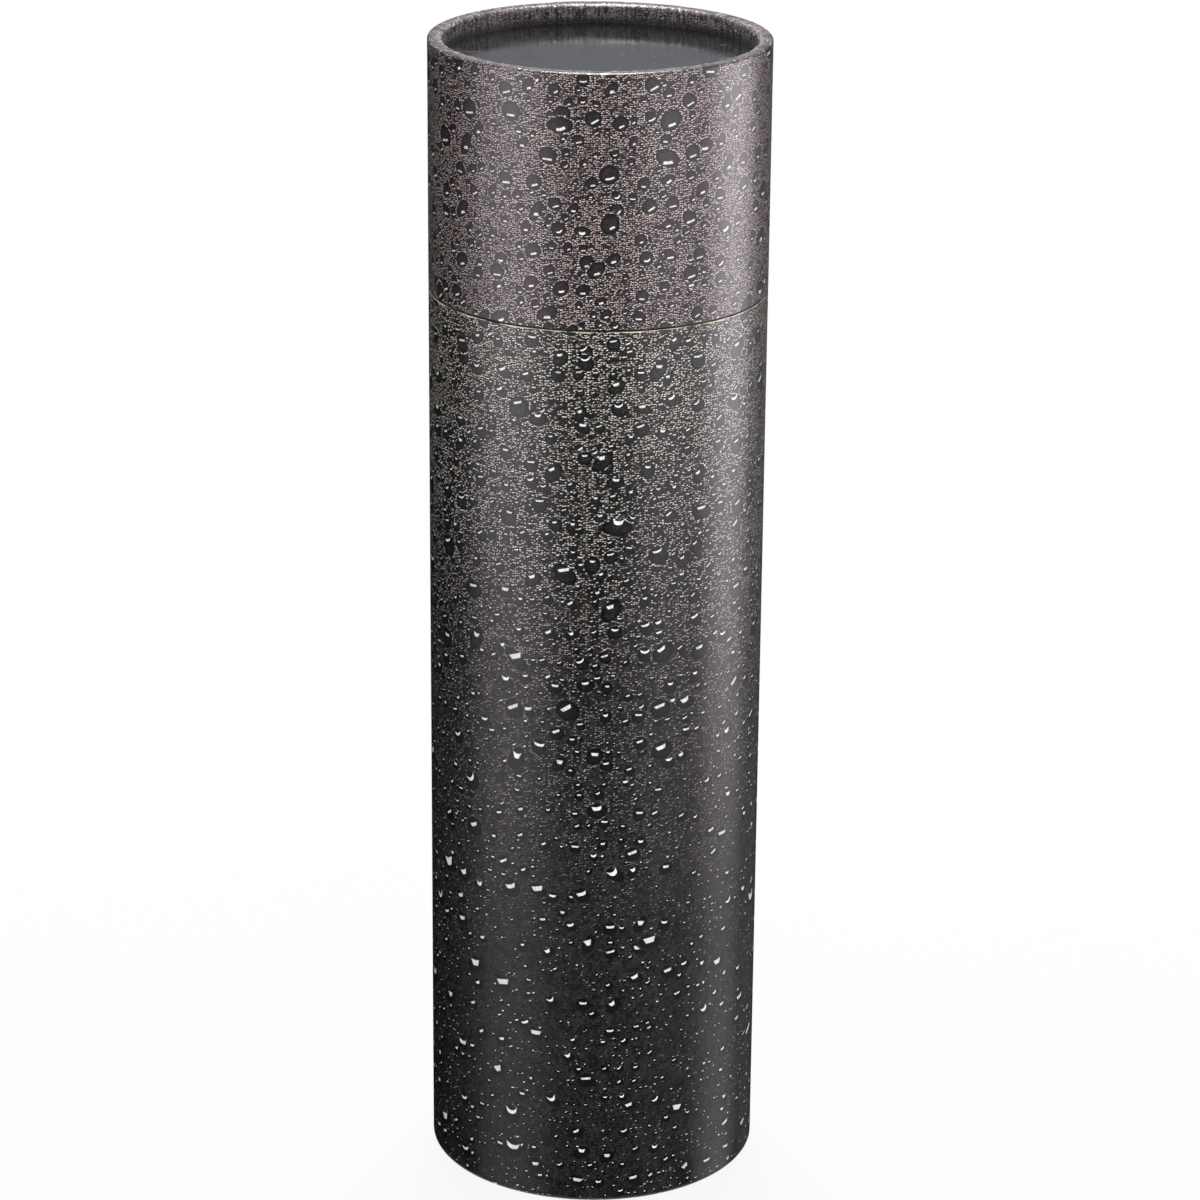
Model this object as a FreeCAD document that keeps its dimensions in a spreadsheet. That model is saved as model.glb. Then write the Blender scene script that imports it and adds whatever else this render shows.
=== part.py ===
"""Cylindrical gift tube box: a wound paperboard tube with a lift-off lid of the same outside diameter.

Lid and base are board shells whose ends are rolled inwards over a board disc. Printed paper covers
each shell and turns over its rolled rim. A full-length inner tube, glued into the base, stands up past
the base's edge as the neck that the lid slides over.

Frame: millimetres, +Z up along the tube's axis, origin at the centre of the ring that the tube stands on.
"""

import FreeCAD, Part
import Sketcher

import math
import os

FULL_TURN = 360.0

# The sketcher's own numbers for its origin point, its horizontal axis and a circle's centre.
ORIGIN_POINT = (-1, 1)
HORIZONTAL_AXIS = -1
CIRCLE_CENTRE = 3

# Driving dimensions, in millimetres.
SIZES = {
    "outer_diameter": 95.0,
    "overall_height": 332.5,
    "lid_height": 70.5,
    "seam_gap": 0.3,
    "wrap_paper": 0.2,
    "lining_paper": 0.15,
    "facing_paper": 0.2,
    "base_board": 1.5,
    "neck_board": 1.3,
    "disc_board": 2.0,
    "slide_clearance": 0.25,
    "rim_land": 0.9,
    "lid_fold_gap": 1.4,
    "base_fold_gap": 0.6,
    "lid_recess": 5.5,
    "base_recess": 4.5,
    "neck_headroom": 17.0,
}

doc = FreeCAD.newDocument("gift_tube_box")


def make_sheet():
    """The spreadsheet of driving dimensions, one named cell each."""
    sheet = doc.addObject("Spreadsheet::Sheet", "Sizes")
    for row, (name, size) in enumerate(SIZES.items(), start=1):
        sheet.set(f"A{row}", name)
        sheet.set(f"B{row}", str(size))
        sheet.setAlias(f"B{row}", name)
    doc.recompute()
    return sheet


sheet = make_sheet()


def value(expression):
    """The number that an expression on the sheet gives now."""
    return float(sheet.evalExpression(expression))


# Radii from the outside in: printed wrap, board shell, neck cover, neck board, neck liner.
OUTSIDE = "(Sizes.outer_diameter / 2)"
BOARD_OUTSIDE = f"({OUTSIDE} - Sizes.wrap_paper)"
BASE_BORE = f"({BOARD_OUTSIDE} - Sizes.base_board)"
NECK_BOARD_OUTSIDE = f"({BASE_BORE} - Sizes.lining_paper)"
NECK_BOARD_INSIDE = f"({NECK_BOARD_OUTSIDE} - Sizes.neck_board)"
CAVITY = f"({NECK_BOARD_INSIDE} - Sizes.lining_paper)"

# The lid's bore slides over the neck cover, which leaves its board a little thinner than the base's.
LID_BORE = f"({BASE_BORE} + Sizes.slide_clearance)"
LID_BOARD_INSIDE = f"({LID_BORE} + Sizes.lining_paper)"
LID_BOARD = f"({BOARD_OUTSIDE} - {LID_BOARD_INSIDE})"

# Heights of the edges and discs.
LID_EDGE = "(Sizes.overall_height - Sizes.lid_height)"
BASE_EDGE = f"({LID_EDGE} - Sizes.seam_gap)"
DISC_STACK = "(Sizes.facing_paper + Sizes.disc_board + Sizes.lining_paper)"
LID_FACE = "(Sizes.overall_height - Sizes.lid_recess)"
LID_CEILING = f"({LID_FACE} - {DISC_STACK})"
FLOOR = f"(Sizes.base_recess + {DISC_STACK})"
NECK_MOUTH = f"({LID_CEILING} - Sizes.neck_headroom)"


class Rim:
    """Radii and depths of one rolled end: the board turns in over a narrow hollow, under the wrap."""

    def __init__(self, board, bore, fold_gap, recess):
        self.board = board
        self.bore = bore
        self.fold_gap = fold_gap
        self.recess = recess
        self.lip_outside = f"({bore} - {fold_gap})"
        self.lip_inside = f"({self.lip_outside} - {board})"
        self.mouth = f"({self.lip_inside} - Sizes.wrap_paper)"
        self.width = f"({OUTSIDE} - {self.mouth})"
        self.corner = f"(({self.width} - Sizes.rim_land) / 2)"
        self.board_corner = f"({self.corner} - Sizes.wrap_paper)"
        self.hollow_corner = f"({fold_gap} / 2)"
        self.hollow_top = f"(Sizes.wrap_paper + {board})"
        self.hollow_spring = f"({self.hollow_top} + {self.hollow_corner})"


LID_RIM = Rim(LID_BOARD, LID_BOARD_INSIDE, "Sizes.lid_fold_gap", "Sizes.lid_recess")
BASE_RIM = Rim("Sizes.base_board", BASE_BORE, "Sizes.base_fold_gap", "Sizes.base_recess")


def below_top(depth):
    """Height of a point that lies so deep below the top of the lid's rim."""
    return f"(Sizes.overall_height - {depth})"


def above_floor(depth):
    """Height of a point that lies so far above the foot of the base's rim."""
    return f"({depth})"


def new_body(label):
    body = doc.addObject("PartDesign::Body", label)
    body.Label = label
    return body


def plane_of(body, role):
    return next(f for f in body.Origin.OriginFeatures if f.Role == role)


def new_sketch(body, role):
    sketch = body.newObject("Sketcher::SketchObject", f"{body.Label}_outline")
    sketch.AttachmentSupport = [(plane_of(body, role), "")]
    sketch.MapMode = "FlatFace"
    return sketch


def bind(sketch, constraint, expression):
    """Adds a dimension to the sketch and ties it to the sheet."""
    index = sketch.addConstraint(constraint)
    sketch.setExpression(f"Constraints[{index}]", expression)


def arc_between(start, end, centre):
    """The shorter arc from start to end about centre, with the outline's direction kept by its ends."""
    first = math.atan2(start.y - centre.y, start.x - centre.x)
    last = math.atan2(end.y - centre.y, end.x - centre.x)
    turn = math.remainder(last - first, 2 * math.pi)
    low, high = (first, first + turn) if turn > 0 else (first + turn, first)
    circle = Part.Circle(centre, FreeCAD.Vector(0, 0, 1), (start - centre).Length)
    return Part.ArcOfCircle(circle, low, high), turn > 0


def draw_outline(sketch, corners):
    """A closed outline of lines and quarter rounds, in (radius, height).

    Each corner is (radius, height), or (radius, height, round, centre radius, centre height) where a
    round leads on from it to the next corner. Every corner is held by two dimensions from the origin.
    """
    places = [FreeCAD.Vector(value(c[0]), value(c[1]), 0) for c in corners]
    ends = []
    for index, corner in enumerate(corners):
        start, end = places[index], places[(index + 1) % len(corners)]
        if len(corner) == 2:
            edge = sketch.addGeometry(Part.LineSegment(start, end), False)
            ends.append((edge, 1, 2))
        else:
            centre = FreeCAD.Vector(value(corner[3]), value(corner[4]), 0)
            arc, forwards = arc_between(start, end, centre)
            edge = sketch.addGeometry(arc, False)
            ends.append((edge, 1, 2) if forwards else (edge, 2, 1))
    for (edge, _, last), (follower, first, _) in zip(ends, ends[1:] + ends[:1]):
        sketch.addConstraint(Sketcher.Constraint("Coincident", edge, last, follower, first))
    for corner, place, (edge, first, _) in zip(corners, places, ends):
        across = Sketcher.Constraint("DistanceX", *ORIGIN_POINT, edge, first, place.x)
        bind(sketch, across, corner[0])
        if place.y == 0.0:
            sketch.addConstraint(Sketcher.Constraint("PointOnObject", edge, first, HORIZONTAL_AXIS))
        else:
            upwards = Sketcher.Constraint("DistanceY", *ORIGIN_POINT, edge, first, place.y)
            bind(sketch, upwards, corner[1])
        if len(corner) > 2:
            bind(sketch, Sketcher.Constraint("Radius", edge, value(corner[2])), corner[2])


def turned(label, corners):
    """A piece of revolution about the tube's axis."""
    body = new_body(label)
    sketch = new_sketch(body, "XZ_Plane")
    draw_outline(sketch, corners)
    doc.recompute()
    revolution = body.newObject("PartDesign::Revolution", f"{label}_turn")
    revolution.Profile = sketch
    revolution.ReferenceAxis = (sketch, ["V_Axis"])
    revolution.Angle = FULL_TURN
    sketch.Visibility = False
    return body


def add_circle(sketch, radius):
    circle = Part.Circle(FreeCAD.Vector(0, 0, 0), FreeCAD.Vector(0, 0, 1), value(radius))
    edge = sketch.addGeometry(circle, False)
    sketch.addConstraint(Sketcher.Constraint("Coincident", edge, CIRCLE_CENTRE, *ORIGIN_POINT))
    bind(sketch, Sketcher.Constraint("Radius", edge, value(radius)), radius)


def padded(label, radii, foot, head):
    """A disc of one radius, or a plain tube of two, standing from height foot to height head."""
    body = new_body(label)
    sketch = new_sketch(body, "XY_Plane")
    sketch.setExpression("AttachmentOffset.Base.z", foot)
    for radius in radii:
        add_circle(sketch, radius)
    doc.recompute()
    pad = body.newObject("PartDesign::Pad", f"{label}_pad")
    pad.Profile = sketch
    pad.setExpression("Length", f"{head} - {foot}")
    sketch.Visibility = False
    return body


def shell_outline(rim, level, edge):
    """Board shell from its cut edge to its rolled end, with the lip that comes back down inside."""
    top = level("Sizes.wrap_paper")
    spring = level(rim.corner)
    face = level(rim.recess)
    hollow_top = level(rim.hollow_top)
    hollow_spring = level(rim.hollow_spring)
    outer_centre = f"({BOARD_OUTSIDE} - {rim.board_corner})"
    inner_centre = f"({rim.lip_inside} + {rim.board_corner})"
    hollow_centre = f"({rim.bore} - {rim.hollow_corner})"
    return [
        (rim.bore, edge),
        (BOARD_OUTSIDE, edge),
        (BOARD_OUTSIDE, spring, rim.board_corner, outer_centre, spring),
        (outer_centre, top),
        (inner_centre, top, rim.board_corner, inner_centre, spring),
        (rim.lip_inside, spring),
        (rim.lip_inside, face),
        (rim.lip_outside, face),
        (rim.lip_outside, hollow_spring, rim.hollow_corner, hollow_centre, hollow_spring),
        (hollow_centre, hollow_top, rim.hollow_corner, hollow_centre, hollow_spring),
        (rim.bore, hollow_spring),
    ]


def wrap_outline(rim, level, edge):
    """Printed paper on the shell: up the wall, over the rolled end and down the lip to the disc."""
    end = level("0")
    under = level("Sizes.wrap_paper")
    spring = level(rim.corner)
    face = level(rim.recess)
    outer_centre = f"({OUTSIDE} - {rim.corner})"
    inner_centre = f"({rim.mouth} + {rim.corner})"
    return [
        (BOARD_OUTSIDE, edge),
        (OUTSIDE, edge),
        (OUTSIDE, spring, rim.corner, outer_centre, spring),
        (outer_centre, end),
        (inner_centre, end, rim.corner, inner_centre, spring),
        (rim.mouth, spring),
        (rim.mouth, face),
        (rim.lip_inside, face),
        (rim.lip_inside, spring, rim.board_corner, inner_centre, spring),
        (inner_centre, under),
        (outer_centre, under, rim.board_corner, outer_centre, spring),
        (BOARD_OUTSIDE, spring),
    ]


def lid_pieces():
    disc_top = f"({LID_FACE} - Sizes.facing_paper)"
    disc_foot = f"({disc_top} - Sizes.disc_board)"
    return [
        turned("lid_tube", shell_outline(LID_RIM, below_top, LID_EDGE)),
        turned("lid_wrap", wrap_outline(LID_RIM, below_top, LID_EDGE)),
        padded("lid_liner", [LID_BOARD_INSIDE, LID_BORE], LID_EDGE, LID_CEILING),
        padded("lid_disc_facing", [LID_BOARD_INSIDE], disc_top, LID_FACE),
        padded("lid_disc", [LID_BOARD_INSIDE], disc_foot, disc_top),
        padded("lid_disc_lining", [LID_BOARD_INSIDE], LID_CEILING, disc_foot),
    ]


def base_pieces():
    disc_foot = "(Sizes.base_recess + Sizes.facing_paper)"
    disc_top = f"({disc_foot} + Sizes.disc_board)"
    return [
        turned("base_tube", shell_outline(BASE_RIM, above_floor, BASE_EDGE)),
        turned("base_wrap", wrap_outline(BASE_RIM, above_floor, BASE_EDGE)),
        padded("base_disc_facing", [BASE_BORE], "Sizes.base_recess", disc_foot),
        padded("base_disc", [BASE_BORE], disc_foot, disc_top),
        padded("base_disc_lining", [BASE_BORE], disc_top, FLOOR),
    ]


def neck_pieces():
    return [
        padded("neck_cover", [BASE_BORE, NECK_BOARD_OUTSIDE], FLOOR, NECK_MOUTH),
        padded("neck_tube", [NECK_BOARD_OUTSIDE, NECK_BOARD_INSIDE], FLOOR, NECK_MOUTH),
        padded("neck_liner", [NECK_BOARD_INSIDE, CAVITY], FLOOR, NECK_MOUTH),
    ]


def check(pieces):
    """Stops the build if any object failed or any piece isn't one sound solid."""
    for thing in doc.Objects:
        if "Invalid" in thing.State or "Error" in thing.State:
            raise RuntimeError(f"{thing.Label} failed: {thing.State}")
    for piece in pieces:
        shape = piece.Shape
        if shape.isNull() or not shape.isValid() or len(shape.Solids) != 1:
            raise RuntimeError(f"{piece.Label} isn't one sound solid")


def main():
    pieces = lid_pieces() + base_pieces() + neck_pieces()
    doc.recompute()
    check(pieces)
    os.makedirs("parts", exist_ok=True)
    for piece in pieces:
        piece.Shape.exportStep(f"parts/{piece.Label}.step")
        box = piece.Shape.BoundBox
        print(f"{piece.Label:18s} {piece.Shape.Volume:10.1f} mm3   z {box.ZMin:8.2f} to {box.ZMax:8.2f}")


main()
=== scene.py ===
"""Looks of a cylindrical gift tube box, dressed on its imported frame.

The printed wraps, disc facings and inside papers are new surfaces that stand for their plain solids.
The boards keep their solids and get a greyboard finish. Lengths are metres unless a name ends in mm.
"""

import math

import bpy
import numpy as np
from bpy.props import FloatProperty, FloatVectorProperty, IntProperty, PointerProperty
from mathutils import Matrix, Vector


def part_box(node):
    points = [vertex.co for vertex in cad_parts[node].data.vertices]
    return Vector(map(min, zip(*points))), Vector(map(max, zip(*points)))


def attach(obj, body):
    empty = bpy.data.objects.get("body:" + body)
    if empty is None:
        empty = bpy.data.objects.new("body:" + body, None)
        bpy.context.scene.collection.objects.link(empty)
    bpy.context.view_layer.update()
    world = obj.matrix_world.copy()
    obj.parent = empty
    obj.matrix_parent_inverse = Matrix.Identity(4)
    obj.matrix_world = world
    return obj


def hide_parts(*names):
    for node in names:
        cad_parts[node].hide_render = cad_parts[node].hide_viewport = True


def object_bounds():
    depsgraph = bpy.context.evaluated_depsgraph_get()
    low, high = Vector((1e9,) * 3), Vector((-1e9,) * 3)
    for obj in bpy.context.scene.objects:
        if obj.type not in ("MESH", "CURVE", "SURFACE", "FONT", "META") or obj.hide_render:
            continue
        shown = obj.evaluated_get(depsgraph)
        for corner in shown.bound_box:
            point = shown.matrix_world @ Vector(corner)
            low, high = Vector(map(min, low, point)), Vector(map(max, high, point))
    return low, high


bl_info = {
    "name": "Gift Tube Box",
    "version": (1, 0, 0),
    "blender": (4, 5, 0),
    "location": "3D View > Sidebar > Gift Tube",
    "description": "Dresses a round paperboard gift tube: printed wraps, rolled rims, linings and stage",
    "category": "Object",
}

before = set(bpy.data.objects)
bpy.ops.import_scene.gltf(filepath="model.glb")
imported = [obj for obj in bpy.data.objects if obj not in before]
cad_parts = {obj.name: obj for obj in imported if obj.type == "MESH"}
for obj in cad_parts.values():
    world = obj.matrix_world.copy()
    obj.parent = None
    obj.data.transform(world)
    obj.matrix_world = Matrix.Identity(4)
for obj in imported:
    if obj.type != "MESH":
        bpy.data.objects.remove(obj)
CAD_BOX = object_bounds()
MM = 0.001
FULL_TURN = 2 * math.pi

# Short names for the nodes and node settings that the materials use most.
MATH = "ShaderNodeMath"
VECTOR = "ShaderNodeVectorMath"
RANGE = "ShaderNodeMapRange"
MIX = "ShaderNodeMix"
NOISE = "ShaderNodeTexNoise"
CELLS = "ShaderNodeTexVoronoi"
SPLIT = "ShaderNodeSeparateXYZ"
SPLIT_COLOUR = "ShaderNodeSeparateColor"
JOIN = "ShaderNodeCombineXYZ"
ROTATE = "ShaderNodeVectorRotate"
COORDINATES = "ShaderNodeTexCoord"
BUMP = "ShaderNodeBump"
PRINCIPLED = "ShaderNodeBsdfPrincipled"
EMISSION = "ShaderNodeEmission"
OUTPUT = "ShaderNodeOutputMaterial"
RGBA = {"data_type": "RGBA"}
SMOOTH = {"interpolation_type": "SMOOTHSTEP"}
FLAT = {"noise_dimensions": "2D"}
FLAT_CELLS = {"voronoi_dimensions": "2D"}
ABOUT_Z = {"rotation_type": "Z_AXIS"}


def linear(hex_colour):
    """An sRGB hex colour as linear red, green and blue."""
    srgb = np.array([int(hex_colour[i : i + 2], 16) for i in (1, 3, 5)]) / 255
    return tuple(np.where(srgb <= 0.04045, srgb / 12.92, ((srgb + 0.055) / 1.055) ** 2.4))


def opaque(colour):
    return (*colour, 1.0)


def length(name, description, default_mm):
    """A length property with its default in millimetres."""
    return FloatProperty(
        name=name, description=description, default=default_mm * MM, min=0.0, unit="LENGTH", precision=5
    )


def colour(name, description, hex_colour):
    return FloatVectorProperty(
        name=name, description=description, default=linear(hex_colour), subtype="COLOR", min=0.0, max=1.0
    )


def angle(name, description, degrees):
    return FloatProperty(
        name=name, description=description, default=math.radians(degrees), subtype="ANGLE"
    )


def amount(name, description, default, unit="NONE"):
    return FloatProperty(name=name, description=description, default=default, unit=unit)


class GiftTubeWrap(bpy.types.PropertyGroup):
    """Sizes of the papers and how they lie."""

    lid_edge: length("Lid edge", "Radius of the outer edge of the lid's rolled rim", 0.7)
    base_edge: length("Base edge", "Radius of the outer edge of the base's rolled foot", 1.3)
    rim_bend: length("Rim bend", "Radius of the inner edge of each rolled rim", 1.3)
    paper: length("Wrap paper", "Thickness of the printed paper", 0.2)
    lining: length("Lining paper", "Thickness of the papers on the neck and inside the lid", 0.15)
    lap: length("Lap", "How far a wrap's end overlaps its start at the back", 8.0)
    lap_ramp: length("Lap ramp", "Length over which the wrap climbs on to its own start", 1.4)
    pleat_height: length("Pleat height", "Greatest height of a crease where the paper turns in", 0.16)
    pleats: IntProperty(name="Pleats", description="Creases round each turned-in rim", default=190, min=0)
    wall_wave: length("Wall wave", "How far the wound wall strays from a true cylinder", 0.03)
    winding_pitch: length("Winding pitch", "Climb of the spiral lining seam in one turn", 78.0)


class GiftTubePrint(bpy.types.PropertyGroup):
    """Colours and sizes of the water-drop print."""

    lid_low: colour("Lid mist dark", "Dark of the lid's printed mist", "#2b2225")
    lid_high: colour("Lid mist light", "Light of the lid's printed mist", "#f1dedb")
    lid_drop: colour("Lid drops", "Body of a drop printed on the lid", "#1d1a1c")
    glint: colour("Glint", "Window light printed in each drop", "#f6f4f2")
    paper_core: colour("Paper core", "Uncoated edge and back of the printed paper", "#d6cbb9")
    lid_mist: length("Lid mist", "Spacing of the droplets in the lid's printed mist", 0.60)
    base_mist: length("Base mist", "Spacing of the droplets in the base's printed mist", 0.70)


class GiftTubeMaterials(bpy.types.PropertyGroup):
    """Colours of the plain papers and boards."""

    laminate: colour("Black laminate", "Glossy paper on the end discs", "#0e0f11")
    neck: colour("Neck paper", "Dyed paper on the outside of the neck", "#232326")
    lining: colour("Lining paper", "Uncoated paper inside the box", "#d9d2c4")
    board: colour("Greyboard", "Wound and die-cut board where its edge shows", "#6a6258")


class GiftTubeStage(bpy.types.PropertyGroup):
    """Camera and lights."""

    lens: amount("Lens", "Focal length on a 36 mm sensor", 125.04, "CAMERA")
    camera_distance: length("Camera distance", "From the tube's axis to the camera, level", 1127.7)
    camera_height: length("Camera height", "From the floor to the camera", 571.0)
    camera_pitch: angle("Pitch", "How far the camera looks down", 19.65)
    camera_yaw: angle("Yaw", "How far the camera looks to the right", 0.06)
    camera_roll: angle("Roll", "How far the camera leans to the left", 0.47)
    right_strip: amount("Right strip", "Glow of the card at the right", 6.4)
    front_strip: amount("Front strip", "Glow of the card right of the camera", 2.5)
    left_strip: amount("Left strip", "Glow of the card at the left", 3.2)
    edge_strip: amount("Edge strip", "Glow of the card past the right one", 0.08)
    back_card: amount("Back card", "Glow of the card that the top disc mirrors", 0.48)
    rim_card: amount("Rim card", "Glow of the card that the rolled rim mirrors", 22.0)
    key: amount("Key", "Power of the softbox under the camera", 10.8, "POWER")
    back: amount("Back", "Power of the softbox behind the tube", 7.2, "POWER")
    top: amount("Top", "Power of the softbox above and behind", 8.4, "POWER")
    ambient: amount("Ambient", "Strength of the even light from all round", 0.34)


class GiftTubeSettings(bpy.types.PropertyGroup):
    """All settings of the gift tube."""

    wrap: PointerProperty(type=GiftTubeWrap, name="Wrap", description="Sizes of the papers")
    design: PointerProperty(type=GiftTubePrint, name="Print", description="Colours of the print")
    materials: PointerProperty(
        type=GiftTubeMaterials, name="Materials", description="Plain papers and boards"
    )
    stage: PointerProperty(type=GiftTubeStage, name="Stage", description="Camera and lights")


# How the papers' surfaces are divided: rows lie closest beside a cut edge, the last column stops a little
# short of the first, and the back of a sheet takes a small share of its height in the UVs.
FIRST_ROW = 0.35 * MM
LAST_COLUMN = 0.1 * MM
ROUND_STEPS = 10
LIP_STEPS = 7
TUBE_BACK_ROWS = 12
BACK_SHARE = 0.01
SHARP_DEGREES = 50
# Where the wraps and inside papers end, at the back of the tube.
LAP_TURN = math.radians(97)


def node_radii(node):
    """Least and greatest distance of a CAD node's vertices from the tube's axis."""
    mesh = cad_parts[node].data
    points = np.empty(len(mesh.vertices) * 3, np.float32)
    mesh.vertices.foreach_get("co", points)
    points = points.reshape(-1, 3).astype(float)
    radius = np.hypot(points[:, 0], points[:, 1])
    return radius.min(), radius.max()


def put_mesh(name, points, corners, uvs, sharp_degrees):
    """A mesh object from vertex rows, the vertex numbers of each face and the UV of each face's corners."""
    mesh = bpy.data.meshes.new(name)
    mesh.vertices.add(len(points))
    mesh.vertices.foreach_set("co", points.astype(np.float32).ravel())
    mesh.loops.add(corners.size)
    mesh.loops.foreach_set("vertex_index", corners.astype(np.int32).ravel())
    mesh.polygons.add(len(corners))
    starts = np.arange(0, corners.size, corners.shape[1], dtype=np.int32)
    mesh.polygons.foreach_set("loop_start", starts)
    mesh.update(calc_edges=True)
    layer = mesh.uv_layers.new(name="sheet")
    layer.data.foreach_set("uv", uvs.astype(np.float32).ravel())
    mesh.polygons.foreach_set("use_smooth", np.ones(len(corners), bool))
    mesh.set_sharp_from_angle(angle=math.radians(sharp_degrees))
    mesh.validate()
    piece = bpy.data.objects.new(name, mesh)
    bpy.context.scene.collection.objects.link(piece)
    return piece


def outline_area(radius, height):
    """Twice the area inside a closed outline, negative where it runs clockwise."""
    return np.sum(radius * np.roll(height, -1) - np.roll(radius, -1) * height)


def outline_normals(radius, height):
    """Unit normals of a closed outline, at right angles to the line between each point's neighbours."""
    along_r, along_z = (np.roll(values, -1) - np.roll(values, 1) for values in (radius, height))
    normal = np.stack([along_z, -along_r], -1) * np.sign(outline_area(radius, height))
    return normal / np.linalg.norm(normal, axis=1, keepdims=True)


def rolled_sheet(name, profile, wrap, thickness, relief, columns):
    """A sheet rolled round the tube's axis until its end overlaps its start.

    The surface is a closed outline of (radius, height) carried once round the axis, from where the sheet
    comes out from under its own end to that end, one lap past a full turn. Over the lap, and up a short ramp
    before it, the faces marked as outside are lifted by the sheet's thickness. relief(arc, across) gives a
    further lift along each face's normal. The place in the sheet of each corner is (arc length round, height
    across), kept as its UV.
    """
    girth = FULL_TURN * profile["girth_radius"]
    arc = np.linspace(wrap.lap, girth + wrap.lap - LAST_COLUMN, columns)
    ramp = np.clip((arc - (girth - wrap.lap_ramp)) / wrap.lap_ramp, 0, 1)
    climb = thickness * ramp * ramp * (3 - 2 * ramp)
    lift = profile["outside"][:, None] * climb[None, :] + relief(arc, profile["across"])
    radius = profile["radius"][:, None] + profile["normal"][:, :1] * lift
    height = profile["height"][:, None] + profile["normal"][:, 1:] * lift
    height = height.clip(profile["height"].min(), profile["height"].max())
    turn = LAP_TURN + arc / profile["girth_radius"]
    points = np.stack([radius * np.cos(turn), radius * np.sin(turn), height], axis=-1)

    rows = len(profile["radius"])
    here = np.arange(rows * columns).reshape(rows, columns)
    beside = np.roll(here, -1, axis=1)
    above = np.roll(here, -1, axis=0)
    across = np.roll(above, -1, axis=1)
    corners = np.stack([here, beside, across, above], axis=-1).reshape(-1, 4)
    next_arc = np.append(arc[1:], arc[0])
    arc_here = np.append(arc[:-1], arc[0])
    next_across = np.roll(profile["across"], -1)
    u = np.stack([arc_here, next_arc, next_arc, arc_here], axis=-1)[None].repeat(rows, 0)
    v = np.stack([profile["across"]] * 2 + [next_across] * 2, axis=-1)[:, None].repeat(columns, 1)
    uvs = np.stack([u, v], axis=-1).reshape(-1, 4, 2)
    if outline_area(profile["radius"], profile["height"]) < 0:
        corners, uvs = corners[:, ::-1], uvs[:, ::-1]
    return put_mesh(name, points.reshape(-1, 3), corners, uvs, SHARP_DEGREES)


def steps_from_edge(distance, step):
    """Distances along a wall: close together beside its cut edge, then even steps to its far end."""
    near = np.array([0.0, 0.2, 0.4, 0.7, 1.3, 2.2]) * FIRST_ROW
    far = np.linspace(near[-1], distance, max(2, int(round((distance - near[-1]) / step)) + 1))
    return np.append(near[:-1], far)


def wrap_profile(node, disc_node, wrap, edge, wall_step):
    """Outline of a printed wrap: up its wall, over the rolled rim, down the inner wall and back inside.

    Heights are worked out for a rim at the far end of a wall that starts at the cut edge, and then mirrored
    where the rim is at the lower end. The round over the rim is two quarter circles and the land between.
    The cut edge is eased in by a bell curve of its height.
    """
    low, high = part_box(node)
    disc_low, disc_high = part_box(disc_node)
    mouth, outside = node_radii(node)
    rim_up = disc_high.z > (low.z + high.z) / 2
    wall = high.z - low.z
    recess = high.z - disc_high.z if rim_up else disc_low.z - low.z
    bend = wrap.rim_bend
    quarter = np.linspace(0, math.pi / 2, ROUND_STEPS + 1)[1:]
    up_wall = steps_from_edge(wall - edge, wall_step)
    lip = np.linspace(0, recess - bend, LIP_STEPS + 1)[1:]
    eased = 0.14 * MM
    runs = (
        (outside - eased * np.exp(-((up_wall / eased) ** 2)), up_wall),
        (outside - edge * (1 - np.cos(quarter)), wall - edge + edge * np.sin(quarter)),
        (mouth + bend * (1 - np.sin(quarter)), wall - bend + bend * np.cos(quarter)),
        (np.full(len(lip), mouth), wall - bend - lip),
    )
    face_r, face_z = (np.concatenate(values) for values in zip(*runs))
    across = np.concatenate([[0], np.cumsum(np.hypot(np.diff(face_r), np.diff(face_z)))])

    # The back follows the face, one paper inside it, by every second point.
    back = slice(None, None, -2)
    face_normal = np.stack([np.gradient(face_z), -np.gradient(face_r)], -1)
    face_normal /= np.linalg.norm(face_normal, axis=1, keepdims=True)
    back_r = (face_r - wrap.paper * face_normal[:, 0])[back]
    back_z = (face_z - wrap.paper * face_normal[:, 1])[back]
    all_r, all_z = np.append(face_r, back_r), np.append(face_z, back_z)
    all_across = np.append(across, -wrap.paper - across[back] * BACK_SHARE)
    if rim_up:
        all_z = low.z + all_z
    else:
        all_z = high.z - all_z
        all_across = -all_across
    return {
        "radius": all_r,
        "height": all_z,
        "across": all_across,
        "normal": outline_normals(all_r, all_z),
        "outside": np.append(np.ones(len(face_r)), np.zeros(len(back_r))),
        "girth_radius": outside,
        "lip_start": across[len(up_wall) + len(quarter) - 1],
        "face_end": across[-1],
    }


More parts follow.
